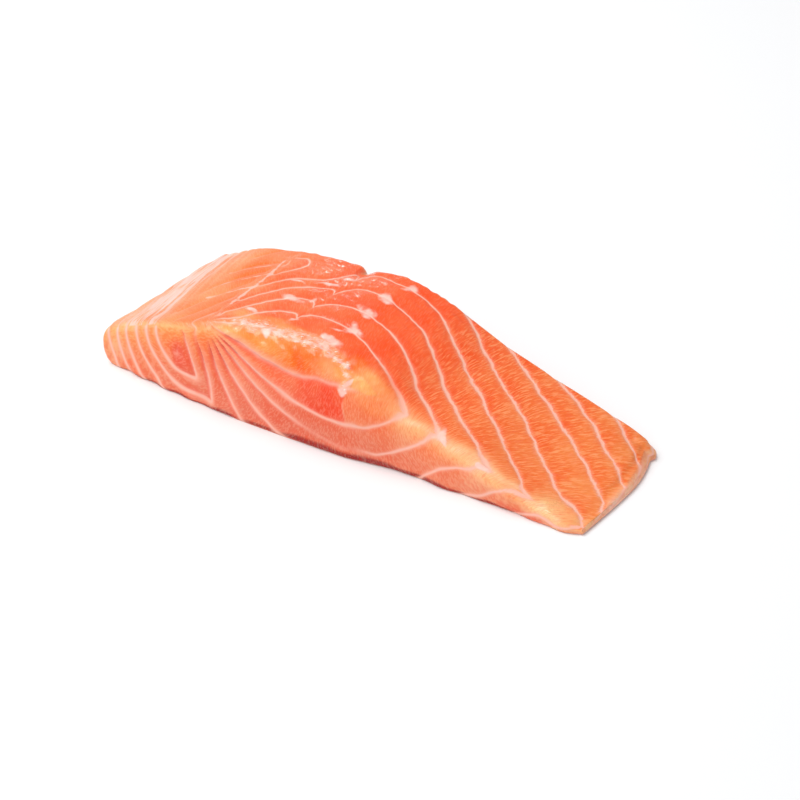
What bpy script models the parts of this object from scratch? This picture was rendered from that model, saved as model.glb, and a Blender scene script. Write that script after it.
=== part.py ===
"""Raw salmon fillet: one skinless portion, cut across the fish and lying flat on its skin side.

The portion is one closed body. A ring is carried along +X, from the thick back of the fish to its thin
belly. Each ring runs up the cut face at the front (-Y), over the rounded shoulder, across the top, down
the cut face at the back and home along the flat underside. A rounded cap closes each end.

Metres, +Z up. The origin is the centre of the bounding box's underside.
"""

from typing import NamedTuple

import bmesh
import bpy
import numpy as np

# Plan of the portion, before the origin is moved to the middle of its underside.
FRONT_START, FRONT_END = -0.0800, 0.0800  # the ends of the front cut, along X
BACK_START, BACK_END = -0.0735, 0.0790  # the ends of the back cut, which is a little shorter
BACK_LINE_START, BACK_LINE_END = 0.0260, 0.0200  # how far back that cut lies at each end
PLAN_FRONT = -0.0250  # where across the portion a ring's X is still that of the front cut
BELLY_BOW = 0.0016  # how far the belly end bows out between its corners

# Edges and ends.
BACK_EDGE = 0.0022  # radius of the edge between the top and the back cut
FOOT_RADIUS = 0.0011  # rounding where a cut face meets the underside
CROWN = 0.0006  # how far the top rises between its front and back edges
FULL_CROWN_HEIGHT = 0.020  # a ring lower than this has less crown
NOSE_BULGE = 0.0033  # the round of the thick end
BELLY_BULGE = 0.0008  # the round of the thin end
EDGE_SQUARENESS = 5.0  # exponent of the back edge's superellipse

# The split between two flakes at the back edge.
SPLIT_PLACE = -0.0215  # along X
SPLIT_HALF_WIDTH = 0.0024
SPLIT_DEPTH = 0.0024
SPLIT_LENGTH = 0.0090  # how far it runs in from the back cut

# Grid: rings along the length, and steps round each ring.
RINGS = 56
NOSE_RINGS = 5
BELLY_RINGS = 3
FRONT_STEPS, TOP_STEPS, BACK_STEPS, UNDER_STEPS = 14, 20, 6, 12

FLESH_COLOUR = (0.93, 0.24, 0.10, 1.0)
FLESH_ROUGHNESS = 0.32


class Station(NamedTuple):
    """The ring's sizes at one place along the front cut."""

    along: float
    front_height: float
    back_height: float
    foot: float  # Y of the front cut's foot
    shoulder: float  # how wide the rounded shoulder is, across the portion
    squareness: float  # exponent of the shoulder's superellipse: 2 is round, 7 nearly square


STATIONS = (
    Station(-0.080, 0.0132, 0.0136, -0.0252, 0.0090, 7.0),
    Station(-0.066, 0.0197, 0.0204, -0.0268, 0.0090, 7.0),
    Station(-0.052, 0.0241, 0.0246, -0.0282, 0.0095, 6.0),
    Station(-0.040, 0.0276, 0.0269, -0.0288, 0.0110, 3.5),
    Station(-0.024, 0.0289, 0.0276, -0.0295, 0.0123, 2.6),
    Station(-0.008, 0.0290, 0.0298, -0.0294, 0.0135, 2.4),
    Station(0.006, 0.0262, 0.0261, -0.0286, 0.0138, 2.8),
    Station(0.022, 0.0190, 0.0198, -0.0269, 0.0123, 3.2),
    Station(0.042, 0.0127, 0.0137, -0.0266, 0.0108, 3.8),
    Station(0.062, 0.0060, 0.0086, -0.0269, 0.0088, 4.5),
    Station(0.080, 0.0016, 0.0042, -0.0250, 0.0050, 5.0),
)


def between_stations(field, along):
    """A station's size at any place along: a smooth cubic through the stations' own values."""
    places = np.array([station.along for station in STATIONS])
    sizes = np.array([getattr(station, field) for station in STATIONS])
    slopes = np.gradient(sizes, places)
    left = np.clip(np.searchsorted(places, along) - 1, 0, len(places) - 2)
    span = places[left + 1] - places[left]
    t = (along - places[left]) / span
    return (
        (1 + 2 * t) * (1 - t) ** 2 * sizes[left]
        + t * (1 - t) ** 2 * span * slopes[left]
        + t * t * (3 - 2 * t) * sizes[left + 1]
        + t * t * (t - 1) * span * slopes[left + 1]
    )


def smooth_step(t):
    """Eases from 0 to 1 as t goes from 0 to 1."""
    t = np.clip(t, 0.0, 1.0)
    return t * t * (3 - 2 * t)


def quarter_round(share, squareness):
    """A superellipse's quarter, from (1, 0) at share 0 to (0, 1) at share 1."""
    cosine, sine = np.cos(np.pi / 2 * share), np.sin(np.pi / 2 * share)
    radius = (cosine**squareness + sine**squareness) ** (-1 / squareness)
    return radius * cosine, radius * sine


def foot_pull(height, radius):
    """How far a cut face draws in near the underside, on a quarter circle."""
    share = np.clip(1 - height / radius, 0.0, 1.0)
    return radius * (1 - np.sqrt(1 - share * share))


def split_depth(x, y, back):
    """How deep the split at the back edge is under a place on the top."""
    across = np.exp(-(((x - SPLIT_PLACE) / SPLIT_HALF_WIDTH) ** 2))
    return SPLIT_DEPTH * across * smooth_step((y - back + SPLIT_LENGTH) / SPLIT_LENGTH)


def rings():
    """The rings between the two caps, as an array of ring, step and X Y Z."""
    share = np.linspace(0.0, 1.0, RINGS)[:, None]
    front_x = FRONT_START + (FRONT_END - FRONT_START) * share
    back_x = BACK_START + (BACK_END - BACK_START) * share
    back = BACK_LINE_START + (BACK_LINE_END - BACK_LINE_START) * share
    front_height = between_stations("front_height", front_x)
    back_height = between_stations("back_height", front_x)
    foot = between_stations("foot", front_x)
    shoulder = between_stations("shoulder", front_x)
    front_foot = np.minimum(FOOT_RADIUS, front_height / 3)
    back_foot = np.minimum(FOOT_RADIUS, back_height / 3)

    out, up = quarter_round(
        np.arange(FRONT_STEPS) / FRONT_STEPS, between_stations("squareness", front_x)
    )
    front_z = front_height * up
    front_y = foot + shoulder * (1 - out) + foot_pull(front_z, front_foot)

    t = np.arange(TOP_STEPS) / TOP_STEPS
    top_y = foot + shoulder + (back - BACK_EDGE - foot - shoulder) * t
    crown = CROWN * np.sin(np.pi * t) * np.minimum(1.0, front_height / FULL_CROWN_HEIGHT)
    top_z = front_height + (back_height - front_height) * smooth_step(t) + crown

    out, up = quarter_round(1 - np.arange(BACK_STEPS) / BACK_STEPS, EDGE_SQUARENESS)
    back_z = back_height * up
    back_y = back - BACK_EDGE * (1 - out) - foot_pull(back_z, back_foot)

    under_start, under_end = back - back_foot, foot + front_foot
    under_y = under_start + (under_end - under_start) * np.arange(UNDER_STEPS) / UNDER_STEPS

    y = np.concatenate([front_y, top_y, back_y, under_y], axis=1)
    z = np.concatenate([front_z, top_z, back_z, np.zeros_like(under_y)], axis=1)
    across = np.clip((y - PLAN_FRONT) / (BACK_LINE_START - PLAN_FRONT), 0.0, 1.0)
    x = front_x + (back_x - front_x) * across
    x = x + BELLY_BOW * np.sin(np.pi * across) * share**4
    z = z - split_depth(x, y, back) * (z > back_height / 2)
    return np.stack([x, y, z], axis=-1)


def cap_rings(ring, bulge, count):
    """Rings that close an end, outermost first: each is flatter and further out, on a half round."""
    middle = ring[:, 2].max() / 2
    for step in range(1, count + 1):
        flat = np.sin(np.pi / 2 * (step / (count + 1)))
        cap = ring.copy()
        cap[:, 2] = middle + (ring[:, 2] - middle) * flat
        cap[:, 0] = ring[:, 0] + bulge * np.sqrt(1 - flat * flat)
        yield cap


def fillet_points():
    """Every ring of the closed body, with the origin in the middle of the underside."""
    body = rings()
    nose = list(cap_rings(body[0], -NOSE_BULGE, NOSE_RINGS))
    belly = list(cap_rings(body[-1], BELLY_BULGE, BELLY_RINGS))[::-1]
    points = np.array([*nose, *body, *belly])
    low, high = points.min(axis=(0, 1)), points.max(axis=(0, 1))
    return points - np.array([(low[0] + high[0]) / 2, (low[1] + high[1]) / 2, low[2]])


def flesh():
    """The fillet's material: wet salmon flesh."""
    material = bpy.data.materials.new("salmon_flesh")
    material.use_nodes = True
    shader = material.node_tree.nodes["Principled BSDF"]
    shader.inputs["Base Color"].default_value = FLESH_COLOUR
    shader.inputs["Roughness"].default_value = FLESH_ROUGHNESS
    shader.inputs["Metallic"].default_value = 0.0
    return material


def salmon_fillet():
    """Skins the rings with quads, closes the two end rings and shades the body smooth."""
    shape = bmesh.new()
    loops = [[shape.verts.new(point) for point in ring] for ring in fillet_points()]
    for ring, following in zip(loops, loops[1:]):
        for step in range(len(ring)):
            after = (step + 1) % len(ring)
            shape.faces.new((ring[step], following[step], following[after], ring[after]))
    ends = [shape.faces.new(loops[0]), shape.faces.new(reversed(loops[-1]))]
    bmesh.ops.triangulate(shape, faces=ends)
    bmesh.ops.recalc_face_normals(shape, faces=shape.faces)
    mesh = bpy.data.meshes.new("salmon_fillet")
    shape.to_mesh(mesh)
    shape.free()
    mesh.shade_smooth()
    mesh.materials.append(flesh())
    bpy.context.scene.collection.objects.link(bpy.data.objects.new("salmon_fillet", mesh))


for leftover in list(bpy.data.objects):
    bpy.data.objects.remove(leftover)
salmon_fillet()
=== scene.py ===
"""Looks of a raw salmon portion: wet, flaky flesh with pale fat between its layers, in a plain studio.

The portion is one closed form, laid out from the same stations as its solid. Its muscle layers are the
level sets of one smooth field through the flesh, so a fat line on the top runs on as a line of the cut
below it. Sizes are millimetres in the plan frame of those stations. The finished form is moved so that its
box is the frame's box.
"""

from __future__ import annotations

import logging
import math
from collections.abc import Callable
from dataclasses import dataclass, fields
from enum import Enum

import bpy
import numpy as np
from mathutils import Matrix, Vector


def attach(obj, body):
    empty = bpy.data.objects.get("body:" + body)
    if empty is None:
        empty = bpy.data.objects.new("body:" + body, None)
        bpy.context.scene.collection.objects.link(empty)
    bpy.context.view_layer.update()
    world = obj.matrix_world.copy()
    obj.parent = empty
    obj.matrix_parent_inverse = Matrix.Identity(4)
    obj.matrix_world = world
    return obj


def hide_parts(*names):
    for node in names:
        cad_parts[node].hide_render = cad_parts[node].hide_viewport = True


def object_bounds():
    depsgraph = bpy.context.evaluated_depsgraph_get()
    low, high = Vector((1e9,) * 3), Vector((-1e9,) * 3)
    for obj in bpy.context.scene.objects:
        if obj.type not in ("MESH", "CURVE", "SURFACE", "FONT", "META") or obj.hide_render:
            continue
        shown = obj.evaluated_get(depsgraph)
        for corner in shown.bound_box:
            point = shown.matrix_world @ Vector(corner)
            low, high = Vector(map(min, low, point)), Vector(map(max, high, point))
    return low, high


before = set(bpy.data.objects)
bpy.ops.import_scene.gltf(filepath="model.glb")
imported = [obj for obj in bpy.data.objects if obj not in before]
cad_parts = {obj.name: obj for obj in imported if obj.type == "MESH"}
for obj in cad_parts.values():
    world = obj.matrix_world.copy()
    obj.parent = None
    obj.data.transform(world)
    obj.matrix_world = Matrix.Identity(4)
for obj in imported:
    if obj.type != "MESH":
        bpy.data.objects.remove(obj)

NODE = "salmon_fillet"
BODY = "root"
TINT = "tint"  # the colour that the mesh carries
MM = 0.001  # a millimetre in the frame's metres
TINY = 1e-9  # keeps a divisor from being zero

Array = np.ndarray
Rgb = tuple[float, float, float]  # screen values, 0 to 255
Place = tuple[float, float, float]  # X, Y and Z, in millimetres but for the studio's
Span = tuple[float, float]
Rgba = tuple[float, float, float, float]  # linear light, 0 to 1

log = logging.getLogger("salmon")


# ---- Small formulas ----


def smooth_step(low: float, high: float, value: Array) -> Array:
    """Eases from 0 at low to 1 at high, with level ends."""
    t = np.clip((value - low) / (high - low), 0.0, 1.0)
    return t * t * (3 - 2 * t)


def window(value: Array, rise: Span, fall: Span) -> Array:
    """Eases from 0 to 1 over the first span, and back to 0 over the second."""
    return smooth_step(rise[0], rise[1], value) * smooth_step(fall[1], fall[0], value)


def around(place: float, width: float) -> Span:
    """The span that reaches a width to both sides of a place."""
    return place - width, place + width


def sets_in(value: Array, start: Span) -> Array:
    """Rises from 0 to 1 round a place, start[0], over a width, start[1]: 1 / (1 + exp(-t))."""
    return 1 / (1 + np.exp(-(value - start[0]) / start[1]))


def soft_ramp(value: Array, softness: float) -> Array:
    """Zero below 0 and the value itself above, with the corner rounded over the softness."""
    return softness * np.logaddexp(0.0, value / softness)


def soft_lower(first: Array, second: Array, softness: float) -> Array:
    """The lower of two fields, with the crease between them rounded over the softness."""
    return -softness * np.logaddexp(-first / softness, -second / softness)


def hill(value: Array, width: float) -> Array:
    """A bell curve of height 1 round the value 0."""
    return np.exp(-((value / width) ** 2))


def between(ends: Span, share: Array) -> Array:
    """The value at a share of the way from one end to the other."""
    return ends[0] + (ends[1] - ends[0]) * share


def softened(value: Array, reach: float, places: tuple[float, ...], values: tuple[float, ...]) -> Array:
    """Straight lines through some values, with their corners rounded over the reach by a mean of five."""
    return sum(np.interp(value + step, places, values) for step in np.linspace(-reach, reach, 5)) / 5


def away(points: Array, place: Place) -> Array:
    """Each point's distance from one place."""
    return np.linalg.norm(points - np.array(place), axis=-1)


def linear(colour: Rgb) -> Array:
    """A colour of screen values as linear light."""
    share = np.asarray(colour, float) / 255
    return np.where(share <= 0.04045, share / 12.92, ((share + 0.055) / 1.055) ** 2.4)


def blend(colour: Array, other: Rgb, share: Array) -> Array:
    """Moves colours towards another one by a share."""
    return colour + (np.array(other) - colour) * share[..., None]


@dataclass(frozen=True)
class Ripple:
    """Smooth unevenness in space: a sum of cosine waves that run in seeded directions."""

    wavelength: float  # mean distance between crests, in millimetres
    seed: int
    waves: int = 14

    def at(self, points: Array) -> Array:
        """The sum of cos(direction . point / length + phase) over the waves, scaled to about -1 to 1.

        Args:
            points: places, with X Y Z as the last axis.

        Returns:
            one value for each place.
        """
        draw = np.random.default_rng(self.seed)
        directions = draw.normal(size=(self.waves, 3))
        directions /= np.linalg.norm(directions, axis=1, keepdims=True)
        lengths = self.wavelength * draw.uniform(0.7, 1.5, self.waves)
        phases = draw.uniform(0, 2 * np.pi, self.waves)
        turns = points @ (directions * (2 * np.pi / lengths)[:, None]).T + phases
        return np.cos(turns).sum(axis=-1) / math.sqrt(self.waves)


def bend(points: Array, reach: float, wavelength: float, seed: int) -> Array:
    """Moves points to and fro by a ripple along each axis, so that soft outlines on them turn ragged."""
    ripples = [Ripple(wavelength, seed + axis).at(points) for axis in range(3)]
    return points + reach * np.stack(ripples, axis=-1)


# ---- The form ----


@dataclass(frozen=True)
class Station:
    """The cross-section's sizes at one place along the front cut."""

    along: float
    front_height: float
    back_height: float
    foot: float  # Y of the front cut's foot
    shoulder: float  # how wide the rounded shoulder is
    squareness: float  # exponent of the shoulder's superellipse: 2 is round, 7 nearly square


STATIONS = (
    Station(-80, 13.2, 15.2, -25.2, 9.0, 7.0),
    Station(-66, 19.7, 21.6, -26.8, 9.0, 7.0),
    Station(-52, 24.1, 25.2, -28.2, 9.5, 6.0),
    Station(-40, 27.6, 27.5, -28.8, 11.0, 3.5),
    Station(-24, 28.9, 28.2, -29.5, 12.3, 2.6),
    Station(-8, 29.0, 29.8, -29.4, 13.5, 2.4),
    Station(6, 26.2, 26.5, -28.6, 13.8, 2.8),
    Station(22, 19.0, 20.3, -26.9, 12.3, 3.2),
    Station(42, 12.7, 14.2, -26.6, 10.8, 3.8),
    Station(62, 6.0, 9.0, -26.9, 8.8, 4.5),
    Station(80, 1.6, 3.4, -25.0, 5.0, 5.0),
)


def crest(x: Array) -> Array:
    """The front cut's height, straight between the stations."""
    return np.interp(x, [s.along for s in STATIONS], [s.front_height for s in STATIONS])


@dataclass(frozen=True)
class FilletForm:
    """The portion's smooth outer form: a ring carried from the thick back of the fish to its thin belly.

    Each ring runs up the front cut, over the shoulder, across the top, down the back cut and home along the
    flat underside. A round cap of flattened rings closes each end.
    """

    front_ends: Span = (-80.0, 80.0)  # the front cut's ends, along X
    back_ends: Span = (-73.5, 79.0)
    back_line: Span = (26.0, 20.0)  # Y of the back cut at each end
    plan_front: float = -25.0  # Y where a ring's X is still the front cut's
    belly_bow: float = 1.6
    back_edge: float = 2.2
    foot_radius: float = 0.4
    crown: float = 0.6
    full_crown_height: float = 20.0
    nose_bulge: float = 3.3
    belly_bulge: float = 0.8
    edge_squareness: float = 5.0
    corner: float = 1.3  # steepness of the shoulder's round where its sharp corner was
    split_place: float = -21.5
    split_widths: Span = (0.76, 3.04)  # of the split's steep side and of its gentle one
    split_depth: float = 2.2
    split_length: float = 9.0
    rings: int = 358
    nose_rings: int = 14
    belly_rings: int = 5
    front_steps: int = 84
    top_steps: int = 96
    back_steps: int = 56
    under_steps: int = 24

    def size(self, name: str, along: Array) -> Array:
        """A station's size at any place along: the cubic through the stations with their mean slopes.

        Args:
            name: the size's name in Station.
            along: places along the front cut.

        Returns:
            the size at each place.
        """
        places = np.array([station.along for station in STATIONS])
        sizes = np.array([getattr(station, name) for station in STATIONS])
        slopes = np.gradient(sizes, places)
        left = np.clip(np.searchsorted(places, along) - 1, 0, len(places) - 2)
        span = places[left + 1] - places[left]
        t = (along - places[left]) / span
        return (
            (1 + 2 * t) * (1 - t) ** 2 * sizes[left]
            + t * (1 - t) ** 2 * span * slopes[left]
            + t * t * (3 - 2 * t) * sizes[left + 1]
            + t * t * (t - 1) * span * slopes[left + 1]
        )

    @staticmethod
    def quarter_round(share: Array, squareness: Array, height: Array, width: Array) -> tuple[Array, Array]:
        """A superellipse's quarter, from (1, 0) to (0, 1), with its points spread evenly over both sides.

        The angle is atan(s / height) up the side and 90 degrees less atan((1 - s) / width) along the top,
        for s running from 0 to height + width. The radius is (cos^n + sin^n)^(-1/n).

        Args:
            share: how far along the quarter, 0 to 1.
            squareness: the exponent n.
            height: the upright side.
            width: the level side.

        Returns:
            the shares of the width and of the height.
        """
        run = share * (height + width)
        top = np.pi / 2 - np.arctan2(height + width - run, width)
        angle = np.where(run < height, np.arctan2(run, height), top)
        cosine, sine = np.clip(np.cos(angle), 0, 1), np.clip(np.sin(angle), 0, 1)
        radius = (cosine**squareness + sine**squareness) ** (-1 / squareness)
        return radius * cosine, radius * sine

    @staticmethod
    def foot_pull(height: Array, radius: Array) -> Array:
        """How far a cut face draws in near the underside, on a quarter circle."""
        share = np.clip(1 - height / radius, 0.0, 1.0)
        return radius * (1 - np.sqrt(1 - share * share))

    def split(self, x: Array, y: Array, back: Array) -> Array:
        """How deep the split between two flakes is: a bell, steep on its left, easing in to the back cut."""
        across = hill(x - self.split_place, np.where(x < self.split_place, *self.split_widths))
        return self.split_depth * across * smooth_step(back - self.split_length, back, y)

    def body_rings(self, rounded: bool) -> Array:
        """The rings between the two caps: front cut, top, back cut and underside, joined end to end.

        Args:
            rounded: whether the shoulder is round, or still the sharp corner that a knife leaves.

        Returns:
            an array of ring, step and X Y Z.
        """
        share = np.linspace(0.0, 1.0, self.rings)[:, None]
        front_x, back_x = between(self.front_ends, share), between(self.back_ends, share)
        back = between(self.back_line, share)
        names = ("front_height", "back_height", "foot", "shoulder", "squareness")
        front_height, back_height, foot, shoulder, squareness = (self.size(name, front_x) for name in names)
        front_foot = np.minimum(self.foot_radius, front_height / 3)
        back_foot = np.minimum(self.foot_radius, back_height / 3)

        steps = np.arange(self.front_steps) / self.front_steps
        out, up = self.quarter_round(steps, squareness, front_height, shoulder)
        if not rounded:
            steep = up / np.maximum(out, TINY) / self.corner
            out, up = np.minimum(1 / np.maximum(steep, TINY), 1.0), np.minimum(steep, 1.0)
        front_z = front_height * up
        front_y = foot + shoulder * (1 - out) + self.foot_pull(front_z, front_foot)

        t = np.arange(self.top_steps) / self.top_steps
        top_y = foot + shoulder + (back - self.back_edge - foot - shoulder) * t
        crown = self.crown * np.sin(np.pi * t) * np.minimum(1.0, front_height / self.full_crown_height)
        top_z = front_height + (back_height - front_height) * t * t * (3 - 2 * t) + crown

        steps = 1 - np.arange(self.back_steps) / self.back_steps
        out, up = self.quarter_round(steps, self.edge_squareness, back_height, self.back_edge)
        back_z = back_height * up
        back_y = back - self.back_edge * (1 - out) - self.foot_pull(back_z, back_foot)
        t = np.arange(self.under_steps) / self.under_steps
        under_y = between((back - back_foot, foot + front_foot), t)

        y = np.concatenate([front_y, top_y, back_y, under_y], axis=1)
        z = np.concatenate([front_z, top_z, back_z, np.zeros_like(under_y)], axis=1)
        across = np.clip((y - self.plan_front) / (self.back_line[0] - self.plan_front), 0.0, 1.0)
        x = between((front_x, back_x), across) + self.belly_bow * np.sin(np.pi * across) * share**4
        return np.stack([x, y, z - self.split(x, y, back) * (z > back_height / 2)], axis=-1)

    @staticmethod
    def cap(ring: Array, bulge: float, count: int) -> Array:
        """Rings that close an end, outermost first: each is flatter and further out, on a half round.

        Args:
            ring: the body's end ring.
            bulge: how far the cap stands out along X.
            count: how many rings it has.

        Returns:
            an array of ring, step and X Y Z.
        """
        flat = np.sin(np.pi / 2 * (np.arange(count) + 0.2) / count)[:, None]
        middle = ring[:, 2].max() / 2
        caps = np.repeat(ring[None], count, axis=0)
        caps[..., 2] = middle + (ring[:, 2] - middle) * flat
        caps[..., 0] = ring[:, 0] + bulge * np.sqrt(1 - flat * flat)
        return caps

    def grid(self, rounded: bool = True) -> Array:
        """Every ring of the closed form.

        Args:
            rounded: as in body_rings.

        Returns:
            an array of ring, step and X Y Z.
        """
        body = self.body_rings(rounded)
        nose = self.cap(body[0], -self.nose_bulge, self.nose_rings)
        belly = self.cap(body[-1], self.belly_bulge, self.belly_rings)[::-1]
        return np.concatenate([nose, body, belly])


@dataclass(frozen=True)
class FootWave:
    """The soft wave of the front cut's foot, which spreads a little where the fillet rests."""

    along: tuple[float, ...] = (-84, -62, -46, -27, -10, 6, 22, 38, 54, 66, 75, 80, 84)
    forward: tuple[float, ...] = (0.0, 0.2, 0.3, 0.9, 0.2, 0.5, -0.4, 0.7, -0.8, 0.1, 1.6, 0.7, 0.0)
    height: float = 7.0

    def at(self, points: Array) -> Array:
        """How far forward each point moves: whole at the foot, none above the height or behind the front."""
        wave = softened(points[..., 0], 2.5, self.along, self.forward) + 0.22 * Ripple(7, 61).at(points)
        return wave * smooth_step(self.height, 0.0, points[..., 2]) * smooth_step(-17, -25, points[..., 1])


@dataclass(frozen=True)
class BellyEnd:
    """How the thin end's face leans back and its far corner curls away."""

    lean: float = 1.9
    bow: float = 0.0095  # how much the far half draws back, for each squared millimetre from the middle
    tongue: float = 1.6  # how far the far corner stands out again
    tongue_start: Span = (15.5, 17.5)  # along Y

    def at(self, points: Array) -> Array:
        """How far the end moves back along X.

        Args:
            points: the form's points.

        Returns:
            millimetres for each point.
        """
        x, y, z = (points[..., axis] for axis in range(3))
        corner = self.bow * np.clip(y - 1, 0, None) ** 2 - self.tongue * smooth_step(*self.tongue_start, y)
        return self.lean * smooth_step(0.3, 3.2, z) * smooth_step(76, 81, x) + corner * smooth_step(66, 80, x)


def along_and_round(values: Array) -> tuple[Array, Array]:
    """Differences along the rings, which are open, and round the steps, which close on themselves."""
    return np.gradient(values, axis=0), (np.roll(values, -1, 1) - np.roll(values, 1, 1)) / 2


def outward_normals(grid: Array) -> Array:
    """Unit normals of a ring grid: the cross product of its two differences, pointing out of the form.

    Args:
        grid: the points.

    Returns:
        a unit vector for each point.
    """
    along, round_ = along_and_round(grid)
    normals = np.cross(along, round_)
    normals /= np.linalg.norm(normals, axis=-1, keepdims=True) + TINY
    outward = np.einsum("ijk,ijk->", normals, grid - grid.mean(axis=(0, 1)))
    return normals if outward > 0 else -normals


def surface_pace(grid: Array, values: Array) -> Array:
    """How fast a value changes along the surface, for each millimetre.

    The squared gradient is (G a^2 - 2 F a b + E b^2) / (E G - F^2), where a and b are the value's
    differences along and round the grid, and E, F and G are the products of the grid's own differences.

    Args:
        grid: the surface's points.
        values: one value for each point.

    Returns:
        the length of the value's gradient in the surface.
    """
    along, round_ = along_and_round(grid)
    a, b = along_and_round(values)
    e, f, g = (along**2).sum(-1), (along * round_).sum(-1), (round_**2).sum(-1)
    squared = (g * a * a - 2 * f * a * b + e * b * b) / (e * g - f * f + TINY)
    return np.sqrt(np.clip(squared, 0, None))


# ---- The muscle layers ----


@dataclass(frozen=True)
class Swell:
    """A soft round region where a value rises, such as the layers' field or a fat line's width."""

    place: Place
    reach: float
    rise: float

    def at(self, points: Array) -> Array:
        """How much is added at each point."""
        return self.rise * hill(away(points, self.place), self.reach)


# Where the layers are moved on by part of a layer.
SHIFTS = (
    Swell((-44, 15, 26), 7, 0.7),
    Swell((-30, 13, 27), 8, 0.9),
    Swell((-19, 16, 28), 8, -0.15),
    Swell((-31, -3, 28), 8, -0.15),
    Swell((-19, -14, 28), 8, -0.4),
    Swell((-33, -14, 28), 8, -0.25),
    Swell((-12, 6, 29), 8, -0.25),
    Swell((-8, -12, 29), 8, -0.2),
    Swell((-74, -26, 8), 7, 0.15),
    Swell((-60, -27, 6), 7, -0.2),
    Swell((75, -26, 1), 6, -0.7),
    Swell((12, -26, 15), 8, -0.3),
    Swell((45, -27, 5), 8, -0.3),
    Swell((-52, 10, 25), 9, 0.15),
)


@dataclass(frozen=True)
class MuscleLayers:
    """One field through the flesh. A sheet of fat lies wherever it is a whole number.

    On the front cut the layers fan out under an apex near the shoulder, hang as boat-shaped bowls towards
    the belly, and nest as cones towards the back. Behind the cut the whole picture moves on by one layer
    for each stretch of depth.
    """

    apex: Span = (-45.0, 26.0)  # X and Z of the apex
    # Directions from the apex, in degrees below level: fat lines 0 to 4 leave it at 7, 21, 27, 40 and 56.
    fan_angles: tuple[float, ...] = (-180, -135, -90, -45, -20, -5, 7, 21, 27, 40, 56, 70, 85, 180)
    fan_levels: tuple[float, ...] = (3.5, 2.5, 2.5, 1.7, 1.7, -0.7, 0, 1, 2, 3, 4, 4.75, 4.9, 5.2)
    fan_softness: float = 5.0
    bowl_radius: float = 48.5
    bowl_turn: float = 0.28  # the bowls come nearer by this much for each degree below level
    bowl_spacing: float = 17.0
    bowl_softness: float = 0.6
    bowl_start: Span = (-48.0, 2.0)  # X where the bowls set in, and over what width
    side_place: float = -39.5
    side_curve: float = 0.023
    side_height: float = 6.0
    side_spacing: float = 5.0
    cone_centre: Span = (-51.0, 22.5)
    cone_level: float = 9.3
    cone_spacing: float = 3.8
    cone_height: float = 4 / 3
    ceiling_level: float = 6.2
    ceiling_rate: float = 0.45
    ceiling_height: float = 22.0
    lean: float = 1.1
    lean_start: Span = (33.0, 4.5)
    depth_spacing: float = 10.0  # millimetres of depth for each layer
    front_line: float = -23.5
    end_slant: float = 0.18
    crease: float = 0.10
    square_start: Span = (4.0, 3.0)  # X where the shoulder turns sharp, and over what width
    ridge: float = 0.35  # how much the layers are moved on along the sharp shoulder
    ridge_width: float = 5.0
    ridge_start: Span = (21.0, 4.0)
    ridge_line: float = -27.0
    dip: float = 0.5
    dip_line: Span = (-22.0, -19.5)  # X of the split's line at the front and at the back
    dip_width: float = 1.5

    def front(self, x: Array, z: Array) -> Array:
        """The field on the front cut: the lowest of the fan with its bowls, the cones, and a ceiling.

        Args:
            x: places along the cut.
            z: heights on it.

        Returns:
            the field at each place.
        """
        right, down = x - self.apex[0], self.apex[1] - z
        radius, angle = np.hypot(right, down), np.degrees(np.arctan2(down, right))
        fan = softened(angle, self.fan_softness, self.fan_angles, self.fan_levels)
        reach = self.bowl_radius - self.bowl_turn * np.clip(angle, 0, 90)
        bowl = soft_ramp((radius - reach) / self.bowl_spacing, self.bowl_softness)
        bowl *= sets_in(x, self.bowl_start)
        edge = self.side_place - self.side_curve * np.maximum(z - self.side_height, 0) ** 2
        side = soft_ramp((edge - x) / self.side_spacing, 0.1)
        lean = self.lean * sets_in(x, self.lean_start) * np.clip(1 - z / crest(x), -0.3, 1)
        cone_x, cone_z = self.cone_centre
        cones = self.cone_level + soft_ramp((right - 4) / 4, 0.5)
        cones -= np.hypot(np.minimum(x - cone_x, 0), (z - cone_z) / self.cone_height) / self.cone_spacing
        ceiling = self.ceiling_level + self.ceiling_rate * (self.ceiling_height - z)
        lower = soft_lower(fan + bowl + side + lean, cones, self.crease)
        return soft_lower(lower, ceiling, self.crease)

    def at(self, points: Array, sharp: Array) -> Array:
        """The field on the form: the front cut's picture, moved on with depth, dipped at the split's line.

        Towards the belly it is read where the points lay before the shoulder was rounded, so a layer turns
        sharply from the cut to the top.

        Args:
            points: the form's points.
            sharp: the same points with a sharp shoulder.

        Returns:
            the field at each point.
        """
        places = points + (sharp - points) * sets_in(points[..., 0], self.square_start)[..., None]
        x, y, z = (places[..., axis] for axis in range(3))
        slant = self.end_slant * (y - self.front_line) * np.clip((-x - 45) / 20, 0, 1)
        level = self.front(x - slant, z) + (y - self.front_line) / self.depth_spacing
        line = between(self.dip_line, np.clip((y + 14) / 27, 0, 1))
        dip = self.dip * np.exp(-np.abs(x - line) / self.dip_width)
        level += dip * smooth_step(-22, -17, y) * smooth_step(20, 24, z)
        ridge = hill(y - self.ridge_line, self.ridge_width) * hill(z - crest(x), self.ridge_width)
        level += self.ridge * ridge * sets_in(x, self.ridge_start)
        waves = 0.05 * Ripple(11, 71).at(points) + 0.025 * Ripple(5, 72).at(points)
        level += waves * (0.35 + 0.35 * smooth_step(0, 24, x))
        return level + sum(shift.at(points) for shift in SHIFTS)


# ---- The flesh's marks: fat nodes, seams, quiet places ----


class Face(Enum):
    """The side of the fillet that a mark lies on, as the axes of its length, its width and its depth."""

    TOP = (0, 1, 2)
    FRONT = (0, 2, 1)


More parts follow.
